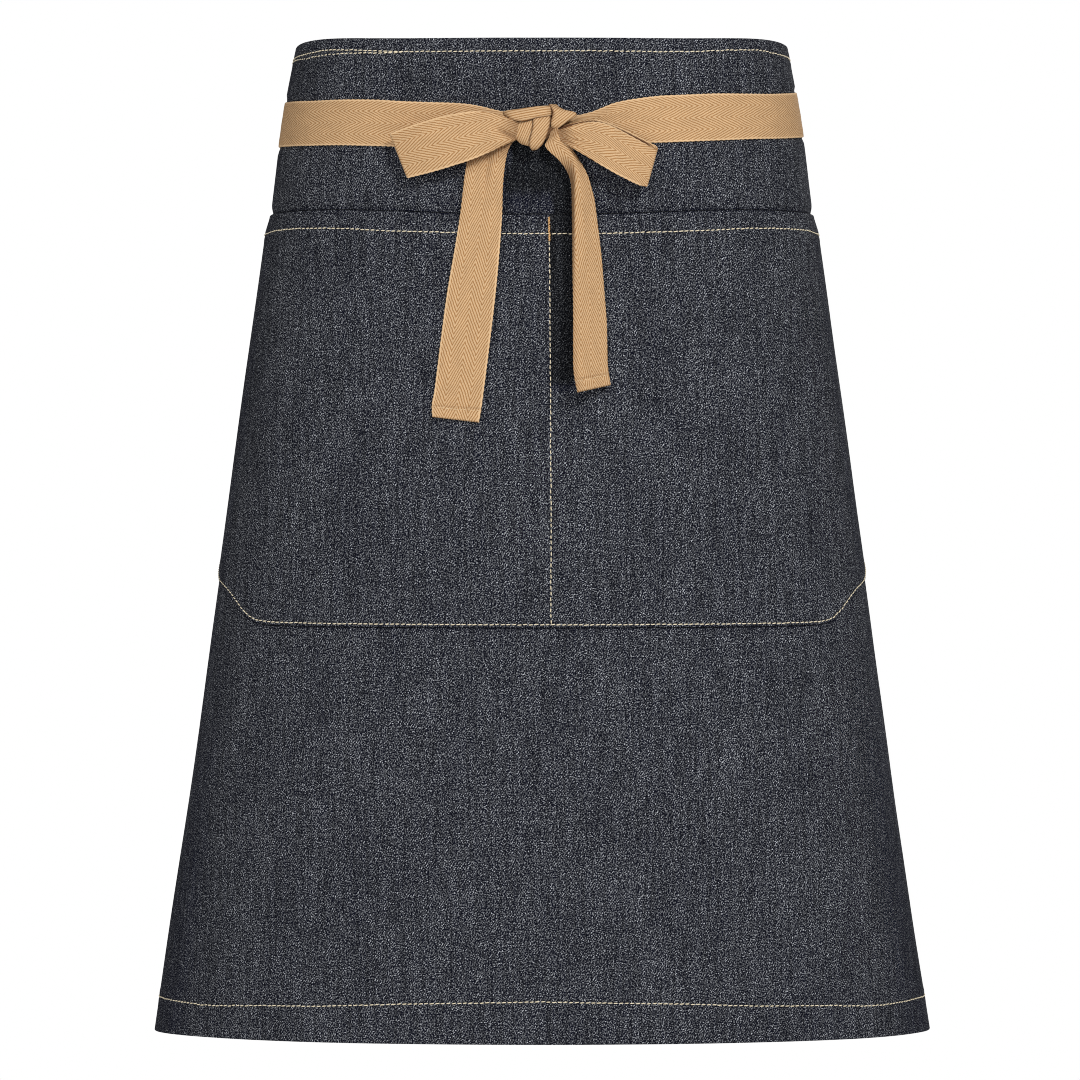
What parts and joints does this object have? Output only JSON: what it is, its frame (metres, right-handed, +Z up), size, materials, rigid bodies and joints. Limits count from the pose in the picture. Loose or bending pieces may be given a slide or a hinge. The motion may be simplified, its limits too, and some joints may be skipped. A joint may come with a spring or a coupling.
{
  "type": "waist apron",
  "caption": "Long denim waist apron, worn form, with a full-width patch pocket and herringbone tape ties crossed at the back and tied in a bow at the front.",
  "frame": {"origin": "middle of the waist hollow at the height where the ties run, where a waist carries the apron", "axes": "+Z up along the wearer, -Y out of the front, +X to the right of the picture"},
  "size_m": [0.4686, 0.2462, 0.5898],
  "materials": {
    "denim": "raw dark indigo denim, three to one twill, matt, paler inside",
    "tape": "undyed tan cotton herringbone tape, matt"
  },
  "bodies": {
    "root": {"apron_panel": "denim", "pocket_panel": "denim", "waist_tape_left": "tape", "waist_tape_right": "tape", "bow_knot": "tape", "bow_loop_left": "tape", "bow_loop_right": "tape", "tie_tail_left": "tape", "tie_tail_right": "tape"}
  },
  "joints": []
}
